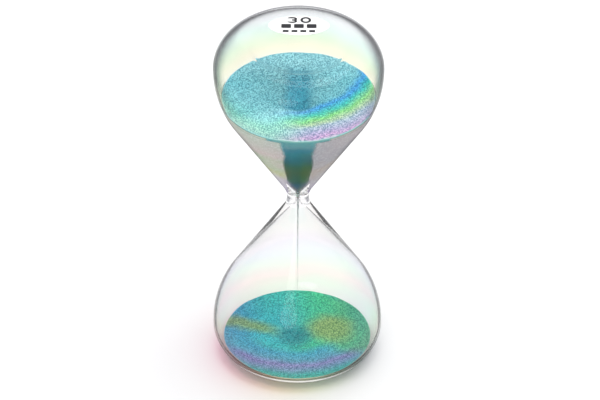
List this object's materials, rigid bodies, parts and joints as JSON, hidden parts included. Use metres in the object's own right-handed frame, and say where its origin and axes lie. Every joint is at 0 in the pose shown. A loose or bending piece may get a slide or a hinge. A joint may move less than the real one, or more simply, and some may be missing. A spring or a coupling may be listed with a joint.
{
  "type": "hourglass",
  "caption": "Frameless glass hourglass: rounded flat-ended bulbs, a narrow throat, glitter sand and an oval sticker on one end.",
  "frame": {"origin": "centre of the plane that the lower foot ring stands on", "axes": "+Z along the timer's axis to the upper foot ring; +Y towards the side where the sticker lies; +X to the right of the sticker's number"},
  "size_m": [0.07, 0.07, 0.154],
  "materials": {
    "upper_glass": "clear blown glass with a thin iridescent coating",
    "neck_glass": "clear heavy-walled glass",
    "lower_glass": "clear blown glass with a thin iridescent coating",
    "fill_plug": "pale translucent silicone",
    "label": "smooth coated sticker",
    "label_print": "printed ink",
    "upper_sand": "fine glitter sand",
    "sand_stream": "fine glitter sand, falling",
    "lower_sand": "fine glitter sand"
  },
  "bodies": {
    "glass": {"upper_bulb": "upper_glass", "neck": "neck_glass", "lower_bulb": "lower_glass", "fill_plug": "fill_plug", "label": "label", "label_print": "label_print", "sand_stream": "sand_stream"},
    "upper_charge": {"upper_sand": "upper_sand"},
    "lower_layer": {"lower_sand": "lower_sand"}
  },
  "joints": [
    {"name": "upper_sand_shift", "type": "slide", "parent": "glass", "child": "upper_charge", "axis": [0, 0, 1], "range_m": [0, 0.02]},
    {"name": "lower_sand_shift", "type": "slide", "parent": "glass", "child": "lower_layer", "axis": [0, 0, 1], "range_m": [0, 0.02], "deforming": ["sand_stream"]}
  ]
}
